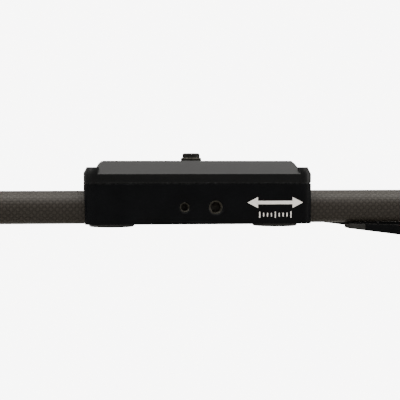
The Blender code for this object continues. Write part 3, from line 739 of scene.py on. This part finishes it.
def make_foot(side, end):
    """A knurled thumb wheel on a threaded stem, over a rubber pad."""
    corner = f"{side}_{end}"
    stem_node = f"{corner}_foot_stem"
    pad_node = f"{corner}_foot_pad"
    low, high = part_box(stem_node)
    centre = middle(stem_node)
    wheel_radius = half_size(stem_node, 0)
    wheel_top = low.z + 3.3 * MM
    stem = 3 * MM
    wheel = [
        (0, low.z),
        (wheel_radius - 0.4 * MM, low.z),
        (wheel_radius, low.z + 0.5 * MM),
        (wheel_radius, wheel_top - 0.5 * MM),
        (wheel_radius - 0.4 * MM, wheel_top),
        (0, wheel_top),
    ]
    shape = spun(eased(wheel, 0.1 * MM, steps=2), 180, relief=knurled(45, 0.25 * MM, wheel_radius))
    laid(shape, (centre.x, centre.y, 0))
    piece(f"{corner}_foot_wheel", shape, BRIGHT_STEEL, f"{corner}_foot", stem_node)
    thread = threaded_rod(stem, 0.55 * MM, 1 * MM, wheel_top - 0.5 * MM, high.z, 40)
    laid(thread, (centre.x, centre.y, 0))
    piece(f"{corner}_foot_thread", thread, BRIGHT_STEEL, f"{corner}_foot")

    low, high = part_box(pad_node)
    radius = half_size(pad_node, 0)
    profile = [
        (0, high.z),
        (radius - 1.4 * MM, high.z),
        (radius - 0.5 * MM, high.z - 0.8 * MM),
        (radius - 0.1 * MM, high.z - 1.7 * MM),
        (radius - 0.6 * MM, high.z - 2.0 * MM),
        (radius - 0.6 * MM, high.z - 2.4 * MM),
        (radius, high.z - 2.7 * MM),
        (radius, low.z),
        (radius - 2 * MM, low.z),
        (radius - 2.4 * MM, low.z + 0.5 * MM),
        (radius - 3.4 * MM, low.z + 0.5 * MM),
        (radius - 3.8 * MM, low.z),
        (0, low.z),
    ]
    shape = laid(spun(eased(profile, 0.25 * MM), 72), (centre.x, centre.y, 0))
    piece(f"{corner}_foot_sole", shape, RUBBER, f"{corner}_foot", pad_node)


# ---- carriage

CARRIAGE_LOW, CARRIAGE_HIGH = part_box("carriage_body")
CARRIAGE_X = (CARRIAGE_LOW.x + CARRIAGE_HIGH.x) / 2
CORNER_RADIUS = 8 * MM
FACE_Y = CARRIAGE_LOW.y
ROOF_Z = CARRIAGE_HIGH.z - 2.9 * MM  # the inside of the housing's roof
ROLLERS = {
    f"{side}_{end}": middle(f"{side}_{end}_roller") for side in SIDES for end in ENDS
}
SHOULDER_Z = 45.3 * MM  # the roller's shoulder and the axle's spacer, just above the bearing
AXLE_HOLE = 2.8 * MM
STUD_HOLE = 5.06 * MM
SOCKET_Z = 41 * MM
LARGE_SOCKET = (CARRIAGE_X + 10.2 * MM, 4.4 * MM)  # its x and its radius
SMALL_SOCKET = (CARRIAGE_X - 10.2 * MM, 3.1 * MM)


def carriage_plan(inset=0.0):
    """The carriage's outline from above, drawn in by an inset."""
    radius = CORNER_RADIUS - inset
    left, front = CARRIAGE_LOW.x + CORNER_RADIUS, CARRIAGE_LOW.y + CORNER_RADIUS
    right, rear = CARRIAGE_HIGH.x - CORNER_RADIUS, CARRIAGE_HIGH.y - CORNER_RADIUS
    centres = [(right, front), (right, rear), (left, rear), (left, front)]
    steps = 14
    outline = []
    for corner, (x, y) in enumerate(centres):
        for step in range(steps + 1):
            angle = math.pi / 2 * (corner - 1 + step / steps)
            outline.append((x + radius * math.cos(angle), y + radius * math.sin(angle)))
    return outline


def axle_holes(low_z, high_z):
    """Tools for the holes over the rollers."""
    return [
        rod(AXLE_HOLE, (place.x, place.y, low_z), (place.x, place.y, high_z), 32)
        for place in ROLLERS.values()
    ]


def socket_tools(x, radius):
    """The bore of a front socket, and the cone of its mouth."""
    ahead = FACE_Y - 2 * MM
    bottom = FACE_Y + 5.6 * MM
    mouth = 0.8 * MM
    bore = rod(radius, (x, ahead, SOCKET_Z), (x, bottom, SOCKET_Z), 56)
    cone = [(0, -mouth), (radius + 2 * mouth, -mouth), (radius, mouth), (0, mouth)]
    return bore, laid(spun(cone, 56), (x, FACE_Y, SOCKET_Z), (0, 1, 0))


def arch_outline(tube):
    """The (y, z) outline of a tunnel for a tube, open at the bottom."""
    radius = TUBE_RADIUS + 1.5 * MM
    bottom = CARRIAGE_LOW.z - FAR
    steps = 32
    outline = [(tube.y + radius, bottom), (tube.y + radius, tube.z)]
    for step in range(1, steps):
        angle = math.pi * step / steps
        outline.append((tube.y + radius * math.cos(angle), tube.z + radius * math.sin(angle)))
    return outline + [(tube.y - radius, tube.z), (tube.y - radius, bottom)]


def brake_tools():
    """The hole for the brake's shaft, and the pocket for its shoe."""
    hole_radius = 3 * MM
    hole_y = 45 * MM
    pocket_y = 53 * MM
    low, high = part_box("brake_shoe")
    shaft = middle("brake_shaft")
    wall_y = CARRIAGE_HIGH.y + FAR
    hole = rod(hole_radius, (shaft.x, hole_y, shaft.z), (shaft.x, wall_y, shaft.z))
    pocket = brick(
        (low.x - GAP, low.y - FAR, low.z - GAP), (high.x + GAP, pocket_y, high.z + GAP)
    )
    return hole, pocket


def make_carriage_body():
    """The housing, hollow from below, with a tunnel over each tube."""
    body = as_object(
        "carriage_housing",
        slab(carriage_plan(), CARRIAGE_LOW.z, CARRIAGE_HIGH.z, "Z"),
        ANODISED,
    )
    end_wall = 2.5 * MM
    side_wall = 4.6 * MM
    stud_room = 6.5 * MM
    hollow = brick(
        (CARRIAGE_LOW.x + end_wall, CARRIAGE_LOW.y + side_wall, CARRIAGE_LOW.z - FAR),
        (CARRIAGE_HIGH.x - end_wall, CARRIAGE_HIGH.y - side_wall, ROOF_Z),
    )
    cut(body, hollow)
    for side in SIDES:
        outline = arch_outline(middle(f"{side}_rail_tube"))
        cut(body, slab(outline, CARRIAGE_LOW.x - FAR, CARRIAGE_HIGH.x + FAR, "X"))
    cut(body, *socket_tools(*LARGE_SOCKET), *socket_tools(*SMALL_SOCKET))
    cut(body, *brake_tools())
    low_z = ROOF_Z - FAR
    high_z = ROOF_Z + 2 * FAR
    stud_hole = rod(stud_room, (CARRIAGE_X, 0, low_z), (CARRIAGE_X, 0, high_z))
    cut(body, stud_hole, *axle_holes(low_z, high_z))
    soften(body, 0.55 * MM)
    finish_piece(body, "carriage", "carriage_body")


def make_socket_threads():
    """A steel thread insert in each front socket."""
    length = 4.5 * MM
    wall = 0.15 * MM
    sunk = 0.95 * MM
    for name, (x, radius), pitch, depth in (
        ("large_socket_thread", LARGE_SOCKET, COARSE_PITCH, 0.75 * MM),
        ("small_socket_thread", SMALL_SOCKET, FINE_PITCH, 0.6 * MM),
    ):
        outer = radius - 0.02 * MM
        bush = threaded_bush(outer - depth - wall, outer, depth, pitch, length)
        laid(bush, (x, FACE_Y + sunk, SOCKET_Z), (0, 1, 0))
        piece(name, bush, BLACK_STEEL, "carriage")


def rimmed_base(low_z, rim_z, top_z, inset):
    """A plate with a step at its foot, upright sides, and a rim that slopes inwards all round."""
    step_in = 0.5 * MM
    step_up = 0.45 * MM
    shape = bmesh.new()
    rings = [
        [shape.verts.new((x, y, z)) for x, y in carriage_plan(shrink)]
        for z, shrink in (
            (low_z, step_in),
            (low_z + step_up, step_in),
            (low_z + step_up, 0.0),
            (rim_z, 0.0),
            (top_z, inset),
        )
    ]
    shape.faces.new(rings[0])
    shape.faces.new(rings[-1])
    for first, second in zip(rings, rings[1:]):
        for index in range(len(first)):
            after = (index + 1) % len(first)
            shape.faces.new((first[index], first[after], second[after], second[index]))
    bmesh.ops.recalc_face_normals(shape, faces=shape.faces)
    return shape


def platform_outline(low_z, lip_z, high_z):
    """The (x, z) outline of the raised platform, with drafted and chamfered ends."""
    half = half_size("top_plate", 0) - 9.6 * MM
    draft = 1.4 * MM
    chamfer = 1.8 * MM
    right = [
        (half, low_z),
        (half, lip_z),
        (half - draft, high_z - chamfer),
        (half - draft - chamfer, high_z),
    ]
    left = [(-x, z) for x, z in reversed(right)]
    return [(CARRIAGE_X + x, z) for x, z in right + left]


def facet_tools(low_z, high_z):
    """The wedges that slope the plate's front and rear between its round corners."""
    half_length = half_size("top_plate", 0) - CORNER_RADIUS
    half_width = half_size("top_plate", 1)
    depth = 10 * MM
    end_splay = 0.3
    slope = (high_z - low_z) / depth
    beyond = 1 * MM
    rise = beyond * slope
    tools = []
    for sign in SIDES.values():
        wedge = [
            (sign * (half_width + beyond), low_z - rise),
            (sign * (half_width + beyond), high_z + rise),
            (sign * (half_width - depth - beyond), high_z + rise),
        ]
        tool = slab(wedge, CARRIAGE_X - half_length, CARRIAGE_X + half_length, "X")
        for vert in tool.verts:
            splay = end_splay * (vert.co.z - low_z)
            vert.co.x -= math.copysign(splay, vert.co.x - CARRIAGE_X)
        tools.append(tool)
    return tools


def stud_holes(low_z, high_z):
    """The stud's hole, the recess for its lock ring and the room for its head."""
    centre = (CARRIAGE_X, 0)
    ring_recess = half_size("stud_lock_ring", 0) + 0.4 * MM
    ring_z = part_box("stud_lock_ring")[0].z - GAP
    head_room = 8.8 * MM
    head_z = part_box("camera_stud")[0].z + 4.5 * MM
    return [
        rod(STUD_HOLE, (*centre, low_z), (*centre, high_z), 64),
        rod(ring_recess, (*centre, ring_z), (*centre, high_z), 96),
        rod(head_room, (*centre, low_z), (*centre, head_z), 64),
    ]


def make_top_plate():
    """A rimmed plate with a raised platform, and a long facet along its front and its rear."""
    low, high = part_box("top_plate")
    rim_z = 62.7 * MM
    lip_z = 67.2 * MM
    lip_chamfer = 2.3 * MM
    base = rimmed_base(low.z, rim_z, lip_z, lip_chamfer)
    plate = as_object("platform_plate", base, PLATE_BLACK)
    platform = platform_outline(low.z + 2 * MM, lip_z, high.z)
    reach = half_size("top_plate", 1) - 0.9 * lip_chamfer
    cut(plate, slab(platform, -reach, reach, "Y"), operation="UNION")
    for tool in facet_tools(rim_z, high.z):
        cut(plate, tool)
    axle_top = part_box("front_left_axle")[1].z
    cut(
        plate,
        *stud_holes(low.z - FAR, high.z + FAR),
        *axle_holes(low.z - FAR, axle_top + GAP),
    )
    soften(plate, 0.4 * MM)
    finish_piece(plate, "carriage", "top_plate")


def make_seam_shadow_sheet():
    """A thin black sheet in the seam between the housing and the plate: a painted shadow that keeps
    the seam a dark line.
    """
    overlap = 0.01 * MM
    inset = 0.7 * MM
    stud_room = 9 * MM
    low_z = CARRIAGE_HIGH.z - overlap
    high_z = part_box("top_plate")[0].z + overlap
    # Painted shadow: this black sheet stands in for the shade inside the seam.
    sheet = as_object("seam_shadow_sheet", slab(carriage_plan(inset), low_z, high_z, "Z"), ANODISED)
    below = low_z - 1 * MM
    above = high_z + 1 * MM
    stud_hole = rod(stud_room, (CARRIAGE_X, 0, below), (CARRIAGE_X, 0, above))
    cut(sheet, stud_hole, *axle_holes(below, above))
    finish_piece(sheet, "carriage")


def arrow_outline(centre_x, centre_z):
    """The (x, z) outline of a double arrow."""
    half = 18.5 * MM
    neck = half - 7 * MM
    half_head = 3.6 * MM
    half_shaft = 1.1 * MM
    right = [
        (neck, half_shaft),
        (neck, half_head),
        (half, 0),
        (neck, -half_head),
        (neck, -half_shaft),
    ]
    left = [(-x, -z) for x, z in right]
    return [(centre_x + x, centre_z + z) for x, z in right + left]


def print_piece(name, outline):
    """A thin layer of ink on the housing's front."""
    proud = 0.03 * MM
    sunk = 0.01 * MM
    ink = slab(outline, FACE_Y - proud, FACE_Y + sunk, "Y")
    piece(name, ink, WHITE_INK, "carriage")


def make_travel_mark():
    """A double arrow for the direction of travel, over a short row of index ticks."""
    mark_x = CARRIAGE_X + 49.5 * MM
    print_piece("travel_arrow", arrow_outline(mark_x, 44 * MM))
    tick_z = 36 * MM
    spacing = 2.6 * MM
    half_width = 0.35 * MM
    for index in range(9):
        x = mark_x + (index - 4) * spacing
        half_height = 2.0 * MM if index % 4 == 0 else 1.2 * MM
        outline = [
            (x - half_width, tick_z - half_height),
            (x + half_width, tick_z - half_height),
            (x + half_width, tick_z + half_height),
            (x - half_width, tick_z + half_height),
        ]
        print_piece(f"travel_tick_{index + 1}", outline)


def roller_groove(radius, distance):
    """The groove's (radius, height) profile, for a tube at this distance from the axle."""
    height = middle("front_rail_tube").z
    groove_radius = TUBE_RADIUS + GAP
    reach = math.acos((distance - radius) / groove_radius)
    steps = 32
    groove = []
    for step in range(steps + 1):
        angle = reach * (1 - 2 * step / steps)
        across = distance - groove_radius * math.cos(angle)
        groove.append((across, height + groove_radius * math.sin(angle)))
    return groove


def make_roller(corner):
    """A nylon roller: a groove for the tube, a dished lower face and a bearing seat."""
    node = f"{corner}_roller"
    low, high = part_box(node)
    place = ROLLERS[corner]
    radius = half_size(node, 0)
    distance = abs(middle("front_rail_tube").y) - abs(place.y)
    seat = 7.3 * MM
    hole = 4.9 * MM
    chamfer = 0.8 * MM
    outside = [
        (hole, high.z),
        (radius - 5.5 * MM, high.z),
        (radius - 4.9 * MM, high.z - 0.6 * MM),
        (radius - 3.6 * MM, high.z - 0.6 * MM),
        (radius - 3.0 * MM, high.z),
        (radius - chamfer, high.z),
        (radius, high.z - chamfer),
    ]
    inside = [
        (radius, low.z + chamfer),
        (radius - chamfer, low.z),
        (radius - 2.4 * MM, low.z),
        (radius - 3.0 * MM, low.z + 0.7 * MM),
        (seat + 2.2 * MM, low.z + 0.7 * MM),
        (seat + 1.6 * MM, low.z),
        (seat + 0.3 * MM, low.z),
        (seat, low.z + 0.3 * MM),
        (seat, SHOULDER_Z),
        (hole, SHOULDER_Z),
    ]
    profile = outside + roller_groove(radius, distance) + inside
    shape = laid(spun(profile, 128, True), (place.x, place.y, 0))
    piece(f"{corner}_roller_wheel", shape, NYLON, node)


def make_bearing(corner):
    """A ball bearing's two races, and a rubber seal sunk between them on either face."""
    node = f"{corner}_bearing"
    body = f"{corner}_roller"
    low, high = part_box(node)
    place = ROLLERS[corner]
    outer = 7 * MM
    inner = 2.8 * MM
    race = 1.1 * MM
    dish = 0.45 * MM
    profile = [
        (inner, low.z),
        (inner + race, low.z),
        (inner + race, low.z + dish),
        (outer - race, low.z + dish),
        (outer - race, low.z),
        (outer, low.z),
        (outer, high.z),
        (outer - race, high.z),
        (outer - race, high.z - dish),
        (inner + race, high.z - dish),
        (inner + race, high.z),
        (inner, high.z),
    ]
    shape = laid(spun(eased(profile, 0.15 * MM, True, 2), 72, True), (place.x, place.y, 0))
    piece(f"{node}_races", shape, BEARING_STEEL, body, node)
    thickness = 0.3 * MM
    sunk = dish * 0.6
    seal_inner = inner + race + 0.1 * MM
    seal_outer = outer - race - 0.1 * MM
    for name, height in (("lower", low.z + sunk), ("upper", high.z - sunk - thickness)):
        ring = [
            (seal_inner, height),
            (seal_outer, height),
            (seal_outer, height + thickness),
            (seal_inner, height + thickness),
        ]
        shape = laid(spun(eased(ring, 0.1 * MM, True, 2), 72, True), (place.x, place.y, 0))
        piece(f"{node}_{name}_seal", shape, SEAL, body)


def make_axle(corner):
    """A roller's knurled screw, with its spacer above the bearing."""
    node = f"{corner}_axle"
    low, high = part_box(node)
    place = ROLLERS[corner]
    head = 5.5 * MM
    shank = 2.5 * MM
    spacer = 4 * MM
    head_top = low.z + 4 * MM
    spacer_top = ROOF_Z - GAP
    profile = [
        (0, high.z),
        (shank, high.z),
        (shank, spacer_top),
        (spacer, spacer_top),
        (spacer, SHOULDER_Z),
        (shank, SHOULDER_Z),
        (shank, head_top),
        (head, head_top),
        (head, low.z),
        (0, low.z),
    ]
    shape = spun(eased(profile, 0.4 * MM), 96, relief=knurled(32, 0.12 * MM, head, 0.05 * MM))
    laid(shape, (place.x, place.y, 0))
    place = (place.x, place.y, low.z)
    socket_screw(f"{node}_screw", shape, 4 * MM, 2.5 * MM, place, (0, 0, 1), "carriage", node)


def make_stud():
    """A threaded stud, with a slotted head under the plate."""
    low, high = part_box("camera_stud")
    thread_radius = 4.76 * MM
    thread_depth = 0.85 * MM
    radius = half_size("camera_stud", 0)
    head_top = low.z + 4.2 * MM
    thread = threaded_rod(
        thread_radius, thread_depth, COARSE_PITCH, head_top - 0.5 * MM, high.z
    )
    laid(thread, (CARRIAGE_X, 0, 0))
    piece("camera_stud_thread", thread, BRIGHT_STEEL, "camera_stud", "camera_stud")
    profile = [(0, low.z), (radius, low.z), (radius, head_top), (0, head_top)]
    shape = laid(spun(eased(profile, 0.5 * MM), 96), (CARRIAGE_X, 0, 0))
    head = as_object("camera_stud_head", shape, BRIGHT_STEEL)
    slot_reach = 12 * MM
    slot_half = 1 * MM
    slot_top = low.z + 1.8 * MM
    slot = brick(
        (CARRIAGE_X - slot_reach, -slot_half, low.z - 3 * MM),
        (CARRIAGE_X + slot_reach, slot_half, slot_top),
    )
    cut(head, slot)
    soften(head, 0.15 * MM, 2)
    finish_piece(head, "camera_stud")


def make_lock_ring():
    """A steel ring with a knurled edge, round the stud."""
    node = "stud_lock_ring"
    low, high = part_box(node)
    radius = half_size(node, 0)
    inner = STUD_HOLE
    profile = [
        (inner, low.z),
        (radius - 0.3 * MM, low.z),
        (radius, low.z + 0.3 * MM),
        (radius, high.z - 0.4 * MM),
        (radius - 0.4 * MM, high.z),
        (inner + 0.3 * MM, high.z),
        (inner, high.z - 0.3 * MM),
    ]
    shape = spun(
        eased(profile, 0.15 * MM, True, 2), 240, True, knurled(60, 0.22 * MM, radius, 0.25 * MM)
    )
    piece("lock_ring_knurled", laid(shape, (CARRIAGE_X, 0, 0)), BLACK_STEEL, "lock_ring", node)


def make_stud_cap():
    """A ribbed cap. Its skirt almost reaches the lock ring, so that no light shows under it."""
    node = "stud_cap"
    low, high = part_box(node)
    low.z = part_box("stud_lock_ring")[1].z + 0.04 * MM
    radius = half_size(node, 0)
    inner = STUD_HOLE
    ceiling = high.z - 1 * MM
    profile = [
        (0, ceiling),
        (inner, ceiling),
        (inner, low.z),
        (radius, low.z),
        (radius, low.z + 0.4 * MM),
        (radius - 0.1 * MM, low.z + 0.55 * MM),
        (radius - 0.1 * MM, high.z - 0.8 * MM),
        (radius - 1.1 * MM, high.z),
        (radius - 3.6 * MM, high.z),
        (radius - 3.8 * MM, high.z - 0.2 * MM),
        (0, high.z - 0.2 * MM),
    ]
    ribs = knurled(36, 0.14 * MM, radius, 0.6 * MM, low.z + 0.8 * MM, high.z - 0.6 * MM)
    shape = spun(eased(profile, 0.3 * MM, steps=3), 216, relief=ribs)
    piece("stud_cap_ribbed", laid(shape, (CARRIAGE_X, 0, 0)), CAP_PLASTIC, "stud_cap", node)


def make_brake():
    """A lobed knob on a threaded shaft, and the shoe that presses on the rear tube."""
    low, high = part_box("brake_knob")
    shaft_low, shaft_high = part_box("brake_shaft")
    centre = middle("brake_knob")
    radius = half_size("brake_knob", 0)
    neck = 7 * MM
    neck_end = low.y + 3 * MM
    bore = 3 * MM
    bore_end = shaft_high.y + GAP
    lobe_count = 8
    lobe_depth = 1.1 * MM
    profile = [
        (0, high.y - 0.5 * MM),
        (radius - 4.8 * MM, high.y - 0.5 * MM),
        (radius - 4.2 * MM, high.y),
        (radius - 1.4 * MM, high.y),
        (radius, high.y - 1.4 * MM),
        (radius, high.y - 4 * MM),
        (radius, neck_end + 2.5 * MM),
        (radius, neck_end + 0.6 * MM),
        (radius - 0.6 * MM, neck_end),
        (neck, neck_end),
        (neck, low.y),
        (bore, low.y),
        (bore, bore_end),
        (0, bore_end),
    ]

    def lobes(here, height, angle):
        if here < radius - 1.5 * MM:
            return here
        return here - lobe_depth * (0.5 - 0.5 * math.cos(angle * lobe_count)) ** 2

    shape = spun(eased(profile, 0.6 * MM), 192, relief=lobes)
    laid(shape, (centre.x, 0, centre.z), (0, 1, 0))
    piece("brake_knob_lobed", shape, NYLON, "brake_knob", "brake_knob")
    shape = threaded_rod(
        half_size("brake_shaft", 0), 0.45 * MM, 0.8 * MM, shaft_low.y, shaft_high.y, 40
    )
    laid(shape, (centre.x, 0, centre.z), (0, 1, 0))
    piece("brake_shaft_thread", shape, BRIGHT_STEEL, "brake_knob", "brake_shaft")
    soften_cad("brake_shoe", NYLON, 0.4 * MM)


for side in SIDES:
    make_tube(side)
for end in ENDS:
    soften_cad(f"{end}_end_bracket", ANODISED, 0.45 * MM)
    make_end_cover(end)
    for side in SIDES:
        make_bumper(side, end)
        make_clamp_screw(side, end)
        make_leg_pivot(side, end)
        soften_cad(f"{side}_{end}_leg", ANODISED, 0.5 * MM, 50)
        soften_cad(f"{side}_{end}_leg_tip", RUBBER, 0.8 * MM)
        make_foot(side, end)
make_carriage_body()
make_top_plate()
make_seam_shadow_sheet()
make_socket_threads()
make_travel_mark()
for corner in ROLLERS:
    make_roller(corner)
    make_bearing(corner)
    make_axle(corner)
make_stud()
make_lock_ring()
make_stud_cap()
make_brake()


# ---- floor, light and camera

BACKDROP = 8.0  # the strength of the world where the camera sees it
FRONT_LIGHT = 0.5  # and its strength as a light, at the level of the eye and below
TOP_LIGHT = 0.6  # and well overhead


def split_by_camera(tree, lit, seen):
    """One shader for the camera's own rays, and another for all the rest."""
    camera_ray = add_node(tree, "ShaderNodeLightPath").outputs["Is Camera Ray"]
    inputs = {0: camera_ray, 1: lit.outputs[0], 2: seen.outputs[0]}
    return add_node(tree, "ShaderNodeMixShader", inputs).outputs[0]


def make_world():
    """Near white where the camera sees it, and a dim, soft light for everything else."""
    world = bpy.data.worlds.new("studio")
    bpy.context.scene.world = world
    world.use_nodes = True
    tree = world.node_tree
    tree.nodes.clear()
    direction = add_node(tree, "ShaderNodeTexCoord").outputs["Generated"]
    up = add_node(tree, "ShaderNodeSeparateXYZ", {0: direction}).outputs["Z"]
    strength = map_range(tree, up, 0.0, 0.8, FRONT_LIGHT, TOP_LIGHT)
    seen = add_node(
        tree, "ShaderNodeBackground", {"Color": (1.0, 0.995, 0.985, 1), "Strength": BACKDROP}
    )
    lit = add_node(
        tree, "ShaderNodeBackground", {"Color": (1.0, 0.97, 0.93, 1), "Strength": strength}
    )
    add_node(tree, "ShaderNodeOutputWorld", {"Surface": split_by_camera(tree, lit, seen)})


def make_floor():
    """Pale paper that lights the object from below.

    The camera sees through it, so that legs and feet show when they reach below it.
    """
    material = bpy.data.materials.new("floor_paper")
    material.use_nodes = True
    tree = material.node_tree
    tree.nodes.clear()
    paper = add_node(tree, "ShaderNodeBsdfDiffuse", {"Color": (0.48, 0.465, 0.44, 1)})
    clear = add_node(tree, "ShaderNodeBsdfTransparent")
    add_node(tree, "ShaderNodeOutputMaterial", {"Surface": split_by_camera(tree, paper, clear)})
    reach = 40.0
    height = -0.1 * MM
    shape = bmesh.new()
    corners = [(-reach, -reach), (reach, -reach), (reach, reach), (-reach, reach)]
    shape.faces.new([shape.verts.new((x, y, height)) for x, y in corners])
    as_object("floor", shape, material)


def make_light(name, place, target, size, radiance, colour):
    """A rectangular soft light, set by its radiance, that the camera doesn't see."""
    data = bpy.data.lights.new(name, "AREA")
    data.shape = "RECTANGLE"
    data.size, data.size_y = size
    area = size[0] * size[1]
    data.energy = radiance * 4 * area  # Cycles divides the watts by four times the area
    data.color = colour
    light = bpy.data.objects.new(name, data)
    light.location = place
    light.rotation_euler = (Vector(target) - Vector(place)).to_track_quat("-Z", "Y").to_euler()
    light.visible_camera = False
    bpy.context.scene.collection.objects.link(light)


def make_camera():
    """A long lens, level with the plate, that looks at it from a little left of its middle."""
    data = bpy.data.cameras.new("camera")
    data.lens = 90.4
    data.sensor_width = 36.0
    data.clip_start = 0.01
    data.clip_end = 200.0
    camera = bpy.data.objects.new("camera", data)
    camera.location = (0.2416, -0.7025, 0.0678)
    camera.rotation_euler = (math.radians(90 - 1.93), 0, math.radians(-6.88))
    bpy.context.scene.collection.objects.link(camera)
    bpy.context.scene.camera = camera


make_world()
make_floor()
make_light("overhead", (0.2, 0.0, 1.1), (0.2, 0.0, 0.0), (3.2, 1.3), 4.6, (1.0, 0.98, 0.95))
make_light("right", (2.3, -0.1, 0.5), (0.3, 0.0, 0.05), (1.0, 1.0), 3.0, (1.0, 0.98, 0.96))
make_camera()
